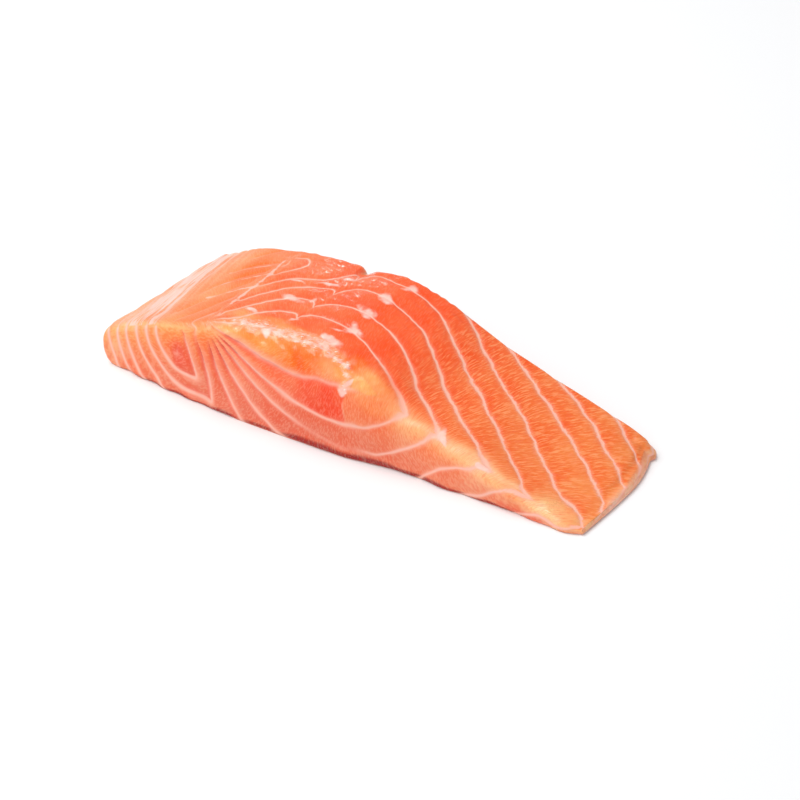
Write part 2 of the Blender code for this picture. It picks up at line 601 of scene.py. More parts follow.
@dataclass(frozen=True)
class Spot:
    """A soft ellipse on the surface, used for a node of fat or for a stain of colour."""

    centre: Place
    length: float
    width: float
    turn: float = 0.0  # degrees, from +X towards +Y on the top, or towards +Z on a cut
    face: Face = Face.TOP
    depth: float = 6.0

    def reach(self, points: Array) -> Array:
        """How far inside the ellipse a point is: one less the ellipse's own radius there.

        Args:
            points: places, with X Y Z as the last axis.

        Returns:
            1 at the centre, 0 on the outline, below 0 outside it.
        """
        offset = points - np.array(self.centre)
        first, second, depth = (offset[..., axis] for axis in self.face.value)
        cosine, sine = math.cos(math.radians(self.turn)), math.sin(math.radians(self.turn))
        along = (first * cosine + second * sine) / (self.length / 2)
        across = (second * cosine - first * sine) / (self.width / 2)
        return 1 - np.sqrt(along**2 + across**2 + (depth / self.depth) ** 2)


FAT_NODES = (
    Spot((-33.5, 5, 28), 7.0, 1.9, -10),
    Spot((-30, -4.5, 29), 9.5, 3.2, -12),
    Spot((-23.5, -3, 29), 4.2, 3.0, 60),
    Spot((-36, -15, 28), 4.0, 2.0, -10),
    Spot((-22, -14.5, 29), 3.6, 2.8, 50),
    Spot((-20.5, 14, 28), 6.5, 3.6, 30),
    Spot((-24.5, 7, 28.5), 7.0, 1.4, 10),
    Spot((-5, 8.5, 30), 8.0, 4.8, -30),
    Spot((-5.5, -1, 30), 7.5, 4.6, -35),
    Spot((-4.5, -9.5, 29), 7.0, 4.4, -20),
    Spot((-7.5, -11.5, 29), 7.0, 1.3, 15),
    Spot((-7, -17, 29), 7.5, 3.4, -30),
    Spot((-2.5, 18, 29.5), 6.0, 3.8, 20),
    Spot((-35, -21, 28), 4.0, 2.6, 0),
    Spot((-26, -21.5, 28), 4.0, 2.4, 0),
    Spot((2.5, -26, 20.5), 4.4, 3.6, 60, Face.FRONT),
    Spot((4, -25, 23), 3.0, 1.6, 60, Face.FRONT),
    Spot((33.5, -24, 13.5), 4.0, 2.0, -40, Face.FRONT),
    Spot((48, -24, 9.5), 3.4, 1.6, -35, Face.FRONT),
)


# Where fat lines meet and swell, at the shoulder's edge.
KNOTS = (
    Swell((20.5, -23, 17.5), 3.2, 1.5),
    Swell((33.5, -23.5, 13.5), 3.4, 2.3),
    Swell((48, -23.5, 10), 3.0, 1.5),
    Swell((62, -25, 5.5), 2.6, 1.2),
    Swell((-54, -28, 4.5), 3.0, 1.0),
    Swell((-57, -28, 9), 3.0, 0.8),
)


@dataclass(frozen=True)
class Quiet:
    """A place where the fat lines fade out, all of them or those of a few levels."""

    centre: Place
    reach: Place
    share: float = 1.0
    levels: Span = (-99.0, 99.0)

    def at(self, points: Array, level: Array) -> Array:
        """How much of a line's strength is lost: a bell with its own reach along each axis.

        Args:
            points: the form's points.
            level: the muscle layers' field.

        Returns:
            the loss at each point.
        """
        offset = (points - np.array(self.centre)) / np.array(self.reach)
        inside = (level > self.levels[0]) & (level < self.levels[1])
        return self.share * np.exp(-(offset**2).sum(axis=-1)) * inside


QUIETS = (
    Quiet((-57.5, -28, 17.5), (5, 9, 4.4), 1.5, (6.5, 99)),
    Quiet((-3, -20, 27.5), (13, 6, 9), 1.6, (-0.5, 0.5)),
    Quiet((12, -24, 20), (6, 7, 6), 1.2),
    Quiet((-25, -29, 19), (19, 9, 10), 0.45, (-0.5, 0.5)),
    Quiet((-6, -29, 4), (14, 9, 4), 0.75, (1.5, 2.5)),
    Quiet((8, -28, 3), (6, 6, 3), 0.5, (1.5, 2.5)),
    Quiet((-47, 8, 25), (6, 22, 5), 0.4),
    Quiet((-53, -27.5, 21.5), (4.5, 6, 3.5), 0.8, (5.5, 6.5)),
    Quiet((-56, 5, 22), (9, 26, 9), 0.9),
)


@dataclass(frozen=True)
class Trail:
    """A line of straight pieces over the form, fading over its width."""

    places: tuple[Place, ...]
    width: float
    strength: float = 1.0

    def at(self, points: Array) -> Array:
        """The strength times a bell of the distance to the nearest piece.

        Args:
            points: places, with X Y Z as the last axis.

        Returns:
            one value for each place.
        """
        nearest = np.full(points.shape[:-1], np.inf)
        for first, last in zip(self.places, self.places[1:]):
            start, run = np.array(first), np.array(last) - np.array(first)
            share = np.clip((points - start) @ run / (run @ run), 0, 1)[..., None]
            nearest = np.minimum(nearest, away(points - share * run, first))
        return self.strength * hill(nearest, self.width)


SEAMS = (
    Trail(((-45.5, -24.5, 27), (-45, -12, 26.5), (-44.5, -4, 26.5), (-44.5, 6, 26.5), (-47.5, 23, 26)), 0.7),
    Trail(((-44.5, -2, 26.5), (-56, -10, 23)), 0.55, 0.8),
    Trail(((-45, 6.5, 26.5), (-58.5, -3, 22.5)), 0.55, 0.8),
    Trail(((-48.5, 12, 25.5), (-59.5, 6.5, 22.5)), 0.55, 0.8),
    Trail(((73.5, 17, 6), (75.5, 16, 5.5), (79.5, 12, 4.5)), 0.6, 0.9),
)
# The belly's shoulder edge, where a pale band of fat with a painted glow is laid.
RIDGE = Trail(((21, -23.5, 17), (48, -24, 9.5), (72, -24.5, 3)), 1.5, 0.75)
TORN_RIM = Trail(
    ((-36, -21.5, 28), (-26, -21, 28.5), (-8, -20, 28.5), (0.5, -22, 26), (3, -24, 23.5), (2.5, -26, 20)), 2.7
)


@dataclass(frozen=True)
class Skin:
    """The smooth form's points, with what is known at each of them."""

    points: Array
    normals: Array
    level: Array  # the muscle layers' field
    pace: Array  # its change along the surface, for each millimetre
    fat: Array  # how far inside a fat node: 1 at its centre, 0 on its outline
    rim: Array  # how near the torn rim
    spread: Array  # how far from the fan's apex, seen from the front

    def facing_up(self, low: float, high: float) -> Array:
        """Eases from 0 to 1 as the surface turns upwards."""
        return smooth_step(low, high, self.normals[..., 2])

    @property
    def top(self) -> Array:
        """Where the top's fat lines and fibres are, rather than the cuts'."""
        return self.facing_up(0.45, 0.75)

    @property
    def fan(self) -> Array:
        """Where the fan of layers lies on the cuts."""
        return (1 - self.top) * window(self.points[..., 0], (-50, -46), (5, 15))

    @property
    def creased(self) -> Array:
        """Where the flakes of the front cut overlap: a ring round the fan's apex, on that cut alone."""
        near = window(self.spread, (3, 9), (14, 46)) * smooth_step(-54, -49, self.points[..., 0])
        return near * smooth_step(-0.4, -0.8, self.normals[..., 1])


# ---- The flesh's colours and relief ----


@dataclass(frozen=True)
class Stain:
    """A soft patch of another flesh colour."""

    spot: Spot
    colour: Rgb
    strength: float


STAINS = (
    Stain(Spot((-53, -28, 14), 12, 15, 15, Face.FRONT), (240, 92, 72), 0.85),
    Stain(Spot((-24, -18.5, 28.5), 30, 6), (253, 160, 98), 0.75),
    Stain(Spot((-38, -18, 28), 16, 8), (254, 172, 110), 0.7),
    Stain(Spot((0, -23, 25.5), 12, 9, -20), (254, 160, 88), 0.7),
    Stain(Spot((9, -22.5, 23), 32, 12, -8), (254, 166, 96), 0.8),
    Stain(Spot((12, -24.5, 19.5), 26, 8, -25, Face.FRONT), (254, 174, 104), 0.75),
    Stain(Spot((72, -23.5, 3.5), 30, 12, 3), (255, 200, 138), 0.9),
    # Pale band under the belly's shoulder edge: fat, with a painted glow of light through the thin edge.
    Stain(Spot((44, -24, 10.5), 48, 7, -15.5, Face.FRONT), (255, 204, 150), 0.6),
    # Painted light: the belly's end face and top edge made pale, lifting the shade that it turns into, away
    # from the lamps.
    Stain(Spot((84, -4, 2), 8, 60), (255, 210, 190), 0.95),
    Stain(Spot((62, -28, 1.0), 26, 6, -8, Face.FRONT), (238, 108, 84), 0.65),
    Stain(Spot((-21, 23, 25.5), 7, 9), (254, 184, 142), 0.8),
    Stain(Spot((4.2, -27.5, 14.5), 10, 1.6, 92, Face.FRONT), (250, 190, 170), 0.8),
    Stain(Spot((-5, -12, 29), 20, 12, 20), (253, 94, 56), 0.7),
    Stain(Spot((4, -20, 27), 8, 7, 60), (253, 128, 58), 0.8),
    Stain(Spot((-12, 4, 29), 24, 18), (253, 94, 58), 0.5),
    Stain(Spot((-71.5, 0, 17), 60, 11, 95), (250, 184, 156), 0.5),
    Stain(Spot((-52, 9, 24), 28, 14, 100), (250, 116, 56), 0.6),
    Stain(Spot((-39, 3, 27), 14, 16), (251, 108, 60), 0.5),
)


@dataclass(frozen=True)
class BandStain:
    """A stretch of one layer on the front cut that has its own colour."""

    levels: Span
    reach: Span  # X at its two ends
    soft: Span  # how softly each end fades
    colour: Rgb
    strength: float

    def share(self, x: Array, level: Array) -> Array:
        """How much of the stain each point takes: between the ends and inside the layer."""
        ends = window(x, *(around(end, soft) for end, soft in zip(self.reach, self.soft)))
        return self.strength * ends * window(level, *(around(edge - 0.02, 0.04) for edge in self.levels))


BANDS = (
    BandStain((-2, 0), (-44, -28), (4, 5), (254, 166, 96), 0.85),
    BandStain((-2, 0), (-32, -12), (6, 6), (254, 146, 70), 0.85),
    BandStain((-2, 0), (-17, -7), (6, 3), (253, 116, 46), 0.9),
    BandStain((0, 1), (-46, -18), (4, 10), (250, 136, 92), 0.65),
    BandStain((0, 1), (-20, -2), (12, 6), (249, 98, 76), 0.5),
    BandStain((0, 1), (-8, 4), (8, 0.4), (248, 76, 58), 0.65),
    BandStain((0, 1), (4, 21), (0.4, 2), (250, 144, 102), 0.6),
)


@dataclass(frozen=True)
class TintRow:
    """Colours at some places along X."""

    places: tuple[float, ...]
    colours: tuple[Rgb, ...]

    def at(self, x: Array) -> Array:
        """The colour at each X, straight between the places."""
        table = np.array(self.colours, float)
        return np.stack([np.interp(x, self.places, table[:, i]) for i in range(3)], axis=-1)


ON_TOP = TintRow(
    (-82, -58, -30, 8, 34, 80),
    ((250, 180, 146), (252, 145, 97), (254, 118, 74), (254, 104, 64), (247, 119, 67), (248, 142, 80)),
)
CUT_HIGH = TintRow(
    (-80, -54, -24, -8, 24, 66),
    ((253, 178, 114), (252, 143, 83), (252, 130, 87), (252, 116, 76), (252, 156, 108), (250, 184, 140)),
)
CUT_LOW = TintRow(
    (-80, -54, -24, -8, 24, 66),
    ((246, 146, 104), (238, 130, 101), (238, 132, 107), (234, 118, 93), (241, 142, 112), (246, 156, 118)),
)


@dataclass(frozen=True)
class FleshTint:
    """The flesh's colour over the form, between the fat lines, as it looks in the studio's light."""

    # pale fat along the shoulder's edge, with a painted glow of light through the thin edge
    shoulder: Rgb = (254, 194, 132)
    # the same pale band of fat with painted glow, along the belly's ridge
    ridge: Rgb = (255, 216, 172)
    foot: Rgb = (150, 58, 62)
    light: float = 1.02  # the studio's light on the flesh
    sheen: float = 0.035  # what its reflections add

    def colours(self, skin: Skin) -> Array:
        """The flesh's linear base colour at each point.

        The top's and the cut's colours run along X, and the cut's also from foot to shoulder. The shoulder's
        pale band tints them, fat with a painted glow through the thin edge, then the stains, the ridge's band
        alike and the dark foot.

        Args:
            skin: the form.

        Returns:
            red, green and blue for each point.
        """
        points, normals = skin.points, skin.normals
        x, z = points[..., 0], points[..., 2]
        height = np.clip(z / crest(x), 0, 1)[..., None]
        cut = CUT_LOW.at(x) + (CUT_HIGH.at(x) - CUT_LOW.at(x)) * smooth_step(0.1, 0.95, height)
        colour = cut + (ON_TOP.at(x) - cut) * skin.facing_up(0.35, 0.8)[..., None]
        # The shoulder's pale band: fat, with a painted glow of light through the thin edge.
        edge = hill(normals[..., 2] - 0.62, 0.26) * smooth_step(0.1, 0.4, np.abs(normals[..., 1]))
        edge *= 0.65 + 0.35 * smooth_step(0, 20, x)
        colour = blend(colour, self.shoulder, 0.85 * edge * (z > 1))
        bent = bend(points, 0.8, 8, 24)
        for stain in STAINS:
            share = stain.strength * smooth_step(0.0, 0.8, stain.spot.reach(bent))
            colour = blend(colour, stain.colour, share)
        uneven = (0.78 + 0.22 * Ripple(6, 12).at(bent)) * smooth_step(-0.35, -0.75, normals[..., 1])
        for band in BANDS:
            colour = blend(colour, band.colour, band.share(bent[..., 0], skin.level) * uneven)
        # The ridge's pale band: fat, with a painted glow of light through the thin edge.
        colour = blend(colour, self.ridge, RIDGE.at(bent))
        reach = 1.2 + 1.5 * hill(x - 8, 20) + 0.4 * Ripple(9, 31).at(points)
        dark = smooth_step(1.0, 0.55, z / np.maximum(reach, 0.3)) * window(x, (-80, -50), (50, 66))
        dark *= window(normals[..., 2], (-0.9, -0.5), (0.2, 0.6))
        colour = blend(colour, self.foot, 0.9 * dark)
        blotches = 1 + 0.05 * Ripple(13, 40).at(points)[..., None] * np.array([0, 1.0, 1.4])
        colour = linear(colour * np.clip(blotches, 0.8, 1.2))
        return np.clip((colour - self.sheen) / self.light, 0.004, 0.95)


@dataclass(frozen=True)
class Relief:
    """How far the real surface lies inside the smooth form, in millimetres."""

    groove: float = 0.16
    groove_width: float = 0.8
    pillow: float = 0.22
    ledge: float = 0.45
    uneven: float = 0.22
    lift: float = 0.3  # how far the highest flesh stands outside the smooth form
    wrinkle: float = 0.2
    node: float = 0.2  # how far the fat nodes stand out
    rim: Span = (0.22, 0.08)  # how rough the torn rim is, coarse and fine
    end_rings: int = 5  # over how many rings the relief fades out at each end

    def depth(self, skin: Skin) -> Array:
        """The inward depth at each point.

        It adds a bell-shaped groove along each fat line, a hollow towards both sides of each flake, ledges
        where the flakes of the front cut overlap, slow unevenness and fine wrinkles on the shoulder, and
        fades out towards the underside and the two ends.

        Args:
            skin: the form.

        Returns:
            depths; those below zero stand out.
        """
        points = skin.points
        top = skin.facing_up(0.3, 0.8)
        off = np.abs((skin.level + 0.5) % 1 - 0.5)
        apart = smooth_step(0.45, 0.16, skin.pace)
        grooves = hill(off / np.maximum(skin.pace, 0.02), self.groove_width) * (0.35 + 0.65 * top) * apart
        pillows = (1 - 2 * off) ** 2 * (0.3 + 0.7 * top) * apart
        phase = skin.level % 1
        ledges = (1 - phase) ** 3 * smooth_step(0, 0.04, phase) * skin.creased
        slow = self.uneven * (1 + Ripple(22, 3).at(points)) * 0.5
        shoulder = hill(skin.normals[..., 2] - 0.65, 0.3) * window(points[..., 0], (-52, -40), (4, 24))
        wrinkles = self.wrinkle * (1 + Ripple(2.6, 8).at(points)) * shoulder
        depth = self.groove * grooves + self.pillow * pillows + self.ledge * ledges
        depth += np.clip(slow, 0, None) + np.clip(wrinkles, 0, None)
        depth -= self.node * smooth_step(-0.1, 0.5, skin.fat)
        coarse, fine = Ripple(2.4, 50).at(points), Ripple(1.3, 51).at(points)
        depth += skin.rim * (self.rim[0] * coarse + self.rim[1] * fine)
        rings = np.arange(len(points))
        ends = smooth_step(0, self.end_rings, np.minimum(rings, rings[::-1]))[:, None]
        return (np.clip(depth, 0, None) - self.lift) * smooth_step(0.1, 1.6, points[..., 2]) * ends


def in_scene(name: str, data: bpy.types.ID) -> bpy.types.Object:
    """Adds an object to the scene, at the origin.

    Args:
        name: its name.
        data: its mesh, light or camera.

    Returns:
        the object.
    """
    made = bpy.data.objects.new(name, data)
    bpy.context.scene.collection.objects.link(made)
    return made


# ---- Shader maths ----


def operator(operation: str, swapped: bool = False) -> Callable[[Wire, Wire | float], Wire]:
    """A method of Wire that puts the wire and another value, or the two swapped, through a Math node."""

    def method(self: Wire, other: Wire | float) -> Wire:
        """One Math node on the two."""
        return self.math(operation, *((other, self) if swapped else (self, other)))

    return method


@dataclass(frozen=True)
class Wire:
    """A number's socket. Arithmetic on it adds Math nodes."""

    board: Board
    socket: bpy.types.NodeSocket

    __add__ = __radd__ = operator("ADD")
    __sub__ = operator("SUBTRACT")
    __rsub__ = operator("SUBTRACT", swapped=True)
    __mul__ = __rmul__ = operator("MULTIPLY")
    __truediv__ = operator("DIVIDE")
    __rtruediv__ = operator("DIVIDE", swapped=True)
    __pow__ = operator("POWER")
    angle_from = operator("ARCTAN2")
    at_least = operator("MAXIMUM")

    def math(self, operation: str, *values: Wire | float) -> Wire:
        """One Math node on some values."""
        return self.board.number("ShaderNodeMath", {"operation": operation}, dict(enumerate(values)))

    def __abs__(self) -> Wire:
        """The value without its sign."""
        return self.math("ABSOLUTE", self)

    def fraction(self) -> Wire:
        """What is left above the whole number below."""
        return self.math("FRACT", self)

    def ease(self, low: Wire | float, high: Wire | float) -> Wire:
        """Eases from 0 at low to 1 at high."""
        settings = {"interpolation_type": "SMOOTHSTEP"}
        return self.board.number("ShaderNodeMapRange", settings, {0: self, 1: low, 2: high})


Socket = bpy.types.NodeSocket
Mark = Array | Wire  # a number on the mesh, or as its material reads it


@dataclass
class Board:
    """A node tree that is being wired."""

    tree: bpy.types.NodeTree

    def node(self, kind: str, settings: dict, sockets: dict) -> bpy.types.Node:
        """Adds a node.

        Args:
            kind: the node's type.
            settings: its own settings, which are set first.
            sockets: values or links for its inputs, by name or number.

        Returns:
            the node.
        """
        made = self.tree.nodes.new(kind)
        for name, value in settings.items():
            setattr(made, name, value)
        for key, value in sockets.items():
            self.feed(made.inputs[key], value)
        return made

    def dress(self, looks: dict) -> None:
        """Feeds the material's own shader, input by input."""
        for name, value in looks.items():
            self.feed(self.tree.nodes["Principled BSDF"].inputs[name], value)

    def feed(self, target: Socket, value: Wire | Socket | float | tuple[float, ...]) -> None:
        """Links a wire or a socket to an input, or sets the input to a plain value."""
        if isinstance(value, (Wire, Socket)):
            self.tree.links.new(value.socket if isinstance(value, Wire) else value, target)
        else:
            target.default_value = value

    def number(self, kind: str, settings: dict, sockets: dict, output: int | str = 0) -> Wire:
        """Adds a node and returns one of its outputs as a number."""
        return Wire(self, self.node(kind, settings, sockets).outputs[output])

    def carried(self, name: str) -> bpy.types.bpy_prop_collection:
        """The outputs of what the mesh carries under a name."""
        return self.node("ShaderNodeAttribute", {"attribute_name": name}, {}).outputs

    def mix(self, share: Wire | float, first: Socket, second: Socket | Rgba, way: str = "MIX") -> Socket:
        """A colour between two others."""
        settings = {"data_type": "RGBA", "blend_type": way}
        return self.node("ShaderNodeMix", settings, {0: share, 6: first, 7: second}).outputs[2]

    def combine(self, *values: Wire | float) -> Socket:
        """Three numbers as a vector."""
        return self.node("ShaderNodeCombineXYZ", {}, dict(enumerate(values))).outputs[0]

    def noise(self, vector: Socket, scale: float, detail: float = 2.0, rough: float = 0.5) -> Wire:
        """Cloudy noise round 0.5."""
        sockets = {"Vector": vector, "Scale": scale, "Detail": detail, "Roughness": rough}
        return self.number("ShaderNodeTexNoise", {"noise_dimensions": "3D"}, sockets)

    def streaks(self, along: Wire, across: Wire, other: Wire, width: float, length: float) -> Wire:
        """Noise round 0.5, drawn out into streaks of a mean width and length, in millimetres."""
        vector = self.combine(along * (1 / length), across * (1 / width), other * (1 / length))
        return self.noise(vector, 1.0, 2.0, 0.55)


@dataclass(frozen=True)
class Rays:
    """Fibres that fan out from one point of a plane."""

    centre: Span
    radius: float  # where a step across them is as long as it says

    def run(self, first: Wire, second: Wire) -> tuple[Wire, Wire]:
        """Millimetres along the rays, and across them: the distance to the centre, and angle * radius."""
        one, two = first - self.centre[0], second - self.centre[1]
        return (one * one + two * two) ** 0.5, one.angle_from(two) * self.radius


# ---- The finish ----


@dataclass(frozen=True)
class Marks:
    """The numbers that the mesh carries for its finish, named as its attributes are."""

    level: Mark
    pace: Mark
    cut: Mark
    fat: Mark
    line_width: Mark
    line_strength: Mark
    hairy: Mark
    fringe: Mark
    creased: Mark
    dorsal: Mark
    wet: Mark
    seam: Mark


@dataclass(frozen=True)
class FleshFinish:
    """Wet raw flesh: tinted flakes, pale fat lines with feathered edges, fine fibres across each flake."""

    fat: Rgb = (248, 202, 190)
    # white of the painted glints on the torn rim's wet fat
    painted_glint: Rgb = (255, 240, 232)
    veil: Rgb = (250, 170, 146)
    line: Rgb = (248, 180, 158)
    hair: Rgb = (253, 164, 110)
    streak: Rgb = (247, 194, 184)
    # painted shade in the gaps under the front cut's overlapping flakes, darker in their slits
    crease: Rgb = (234, 84, 66)
    slit_shade: Rgb = (206, 58, 44)
    shade: Rgba = (0.93, 0.52, 0.42, 1)
    pale_grain: Rgba = (1.0, 0.5, 0.34, 1)
    deep_grain: Rgba = (0.85, 0.08, 0.035, 1)
    hair_gap: Rgba = (0.84, 0.08, 0.03, 1)
    roughness: float = 0.38
    least_pace: float = 0.015  # keeps the way to a line finite where the field hardly changes
    top_rays: Rays = Rays((14.0, -65.0), 80.0)
    cut_rays: Rays = Rays((6.0, -45.0), 40.0)

    def material(self) -> bpy.types.Material:
        """Makes the material and lets a painter feed its shader.

        Returns:
            the material.
        """
        material = bpy.data.materials.new("salmon_flesh_wet")
        material.use_nodes = True
        board = Board(material.node_tree)
        board.dress(FleshPainter(board, self).looks())
        return material


class FleshPainter:
    """Wires what the flesh is like at a point, and paints its colour from that, layer over layer."""

    def __init__(self, board: Board, finish: FleshFinish) -> None:
        """Reads the mesh's numbers and lays the fibres.

        The fibres fan out as rays that wander a little, in the top's plane and in the cut's. The distance to
        a fat line is that of the layers' field to a whole number, over its pace, and the phase runs from 0
        to 1 from one line to the next.

        Args:
            board: the material's tree.
            finish: the flesh's colours and rays.
        """
        self.board, self.finish = board, finish
        place = board.node("ShaderNodeTexCoord", {}, {}).outputs["Object"]
        scaled = board.node("ShaderNodeVectorMath", {"operation": "SCALE"}, {0: place, "Scale": 1 / MM})
        self.point = scaled.outputs[0]
        axes = board.node("ShaderNodeSeparateXYZ", {}, {0: self.point}).outputs
        self.x, self.y, self.z = x, y, z = [Wire(board, axis) for axis in axes]
        self.marks = marks = Marks(*(Wire(board, board.carried(mark.name)["Fac"]) for mark in fields(Marks)))
        self.colour = board.carried(TINT)["Color"]

        wander = board.noise(self.point, 0.07, 1.0) - 0.5
        along, across = finish.top_rays.run(x, y)
        across = across + wander * 3
        self.hairs = board.streaks(along, across, z, 0.44, 3.2)
        fine = board.streaks(along, across, z, 0.3, 2.0).ease(0.3, 0.7) - 0.5
        along, across = finish.cut_rays.run(x, 0 - z)
        self.strokes = board.streaks(along, across + wander * 6, y, 0.42, 1.3)
        grain = (self.strokes.ease(0.35, 0.65) - 0.5) * marks.cut * 1.3 + fine * (1 - marks.cut)
        self.grain = grain * (1 - marks.fringe)

        wiggle = (board.noise(self.point, 0.45, 2.0) - 0.5) * 0.12
        level = marks.level + wiggle * marks.hairy.at_least(0.2)
        self.pace = marks.pace.at_least(finish.least_pace)
        self.distance = abs((level + 0.5).fraction() - 0.5) / self.pace
        self.phase = level.fraction()
        self.hair = self.hairs.ease(0.5, 0.64) * marks.hairy * (1 - abs(self.phase - 0.45) * 0.6)

    def tinge(self, share: Wire, colour: Socket | Rgba) -> None:
        """Moves the colour towards a linear one."""
        self.colour = self.board.mix(share, self.colour, colour)

    def paint(self, share: Wire, screen: Rgb) -> None:
        """Moves the colour towards a screen colour."""
        self.tinge(share, (*(float(value) for value in linear(screen)), 1.0))

    def flakes(self) -> None:
        """Paints shade on each flake's deep side and light on its pale one, and draws the fibres across it.
        """
        finish, phase, hairy = self.finish, self.phase, self.marks.hairy
        drawn = self.marks.line_strength.ease(0.0, 0.7)
        # Painted shade on the deep side of each flake and painted light on its pale side, as its curved
        # surface turns from the light and towards it.
        shaded = self.board.mix(1.0, self.colour, finish.shade, "MULTIPLY")
        self.tinge((1 - phase) ** 3 * (0.45 + hairy * 0.2) * drawn, shaded)
        self.paint(phase**3 * hairy * drawn * 0.3, finish.hair)
        self.tinge((self.grain * 0.3).at_least(0), finish.pale_grain)
        self.tinge((self.grain * -0.4).at_least(0), finish.deep_grain)
        self.tinge((1 - self.hairs.ease(0.34, 0.5)) * hairy * (1 - phase * 0.7) * 0.45, finish.hair_gap)
        self.paint(self.hair * 0.7, finish.hair)

    def overlaps(self) -> None:
        """Draws the overlapping flakes of the front cut: a thin pale edge, then painted shade in the gap
        under it, darker in a slit in that gap.
        """
        phase, distance, here = self.phase, self.distance, self.marks.creased
        self.paint((1 - ((1 - phase) / self.pace).ease(0.4, 3.2)) * here * 0.4, self.finish.veil)
        # Painted shade just below each crease, where the flake above overhangs, and darker in the slit at the
        # line.
        gap_shade = (1 - distance.ease(0.2, 2.4)) * (1 - (phase - 0.3).ease(0, 0.2)) * here
        self.paint(gap_shade * 0.75, self.finish.crease)
        slit_shade = (1 - (distance + (self.strokes - 0.5) * 0.3).ease(0.05, 0.4)) * here
        self.paint(slit_shade * 0.7, self.finish.slit_shade)

    def fat_lines(self) -> None:
        """Draws the back's pale streaks, then each line of fat: faint halo, feathered core, paler middle."""
        x, y, marks, distance = self.x, self.y, self.marks, self.distance
        cut, hairy, strength = marks.cut, marks.hairy, marks.line_strength
        pale = self.board.streaks(y, x + y * 0.09, self.z, 0.9, 13.0).ease(0.45, 0.54)
        self.paint(pale * marks.dorsal.ease(0.1, 0.6) * 0.85, self.finish.streak)
        half = marks.line_width * ((self.board.noise(self.point, 0.2, 1.0) - 0.5) * 1.1 + 1) * 0.5
        feather = (self.hairs - 0.5) * 2.4 * hairy + (self.strokes - 0.5) * 0.6 * cut
        ends = half * (0.55 - cut * 0.3), half * (1.35 + cut * 0.35)
        core = 1 - (distance + feather * 0.5).ease(*ends)
        self.paint((1 - distance.ease(half, half * 3.2)) * strength * 0.22, self.finish.line)
        self.paint(core * strength, self.finish.line)
        middle = 1 - distance.ease(half * 0.1, half * 0.8)
        self.paint(middle * strength * (0.3 - hairy * 0.1), self.finish.fat)

    def fat_masses(self) -> tuple[Wire, Wire]:
        """Draws the fat nodes, the torn rim and seams with their ragged outlines, and painted glints on the
        rim.

        Returns:
            where the fat masses and the painted glints are.
        """
        board, marks, finish, x, y = self.board, self.marks, self.finish, self.x, self.y
        ragged = board.noise(board.combine(x * 0.4, y, self.z), 0.55, 4.0, 0.6) - 0.5
        rim = (marks.fringe + ragged * 3.0 - 0.62).ease(0.0, 0.6) * marks.fringe.ease(0.05, 0.3)
        seam = (marks.seam + ragged * 1.6 - 0.4).ease(0.0, 0.5) * marks.seam.ease(0.05, 0.3)
        cloud = board.noise(self.point, 0.5, 2.0, 0.5) - 0.5
        mass = (marks.fat + cloud * 0.9).ease(-0.1, 0.6) * (marks.fat + 1).ease(0.2, 0.8)
        mass = (mass * (0.85 + cloud * 0.8)).at_least(rim * 0.7).at_least(seam * 0.7)
        # Painted glints: white streaks on the torn rim, where its wet fat would catch the light.
        painted_glints = board.streaks(x + y * 0.3, y - x * 0.3, self.z, 0.3, 1.5).ease(0.6, 0.7)
        painted_glints = painted_glints * marks.fringe.ease(0.3, 0.8)
        self.paint(marks.fringe.ease(0.15, 0.8) * 0.35, finish.hair)
        self.paint(mass * 0.92, finish.fat)
        self.paint(painted_glints * 0.9, finish.painted_glint)
        return mass, painted_glints

    def looks(self) -> dict:
        """Paints the flesh and works out its relief and its gloss.

        Returns:
            a value or a wire for each of the shader's inputs.
        """
        board, wet = self.board, self.marks.wet
        self.flakes()
        self.overlaps()
        self.fat_lines()
        mass, painted_glints = self.fat_masses()
        pits = board.noise(self.point, 1.2, 2.0, 0.6)
        height = self.hair * 0.05 + self.grain * 0.05 + mass * 0.2 + painted_glints * 0.15 + wet * pits * 0.3
        bump = board.node("ShaderNodeBump", {}, {"Strength": 0.7, "Distance": MM, "Height": height})
        return {
            "Base Color": self.colour,
            "Normal": bump.outputs[0],
            "Roughness": self.finish.roughness + (board.noise(self.point, 0.3) - 0.5) * 0.2 - wet * 0.15,
            "Coat Weight": wet * 0.7,
            "Coat Roughness": 0.08,
            "Specular IOR Level": 0.2,
            "Subsurface Weight": 0.15,
            "Subsurface Scale": 1.4 * MM,
            "Subsurface Radius": (1.0, 0.35, 0.2),
        }


# ---- The fillet ----


@dataclass(frozen=True)
class FatLines:
    """How wide and how strong the fat lines are over the form."""

    on_top: float = 0.44
    on_cut: float = 0.92
    widest: float = 0.28  # the most of a layer that a line may take
    strength: float = 0.95

    def width(self, skin: Skin) -> Array:
        """The lines' width: broad on the cuts and towards the belly, swelling at the knots.

        Args:
            skin: the form.

        Returns:
            millimetres for each point.
        """
        x = skin.points[..., 0]
        on_top = self.on_top + 0.3 * hill(x + 36, 12) + 0.58 * smooth_step(-2, 20, x)
        on_top -= 0.1 * smooth_step(25, 50, x)
        on_cut = self.on_cut + 0.25 * smooth_step(-50, -58, x)
        width = (on_cut + (on_top - on_cut) * skin.top) * (1 + 0.35 * skin.fan)
        width = np.minimum(width, self.widest / np.maximum(skin.pace, 0.01))
        return width + sum(knot.at(skin.points) for knot in KNOTS)

    def drawn(self, skin: Skin) -> Array:
        """The lines' strength: weaker at the back, in quiet places, where they crowd, and in the fan.

        Args:
            skin: the form.

        Returns:
            0 to 1 for each point.
        """
        x = skin.points[..., 0]
        weak = 0.12 * hill(x + 25, 22) + 0.6 * hill(x + 58, 9) + 0.3 * smooth_step(-46, -60, x)
        strength = self.strength - weak * skin.top
        strength -= sum(quiet.at(skin.points, skin.level) for quiet in QUIETS)
        strength *= 1 - 0.7 * smooth_step(0.35, 1.0, skin.pace)
        return np.clip(strength * (1 - skin.fan * (0.12 + 0.88 * smooth_step(17, 7, skin.spread))), 0, 1)


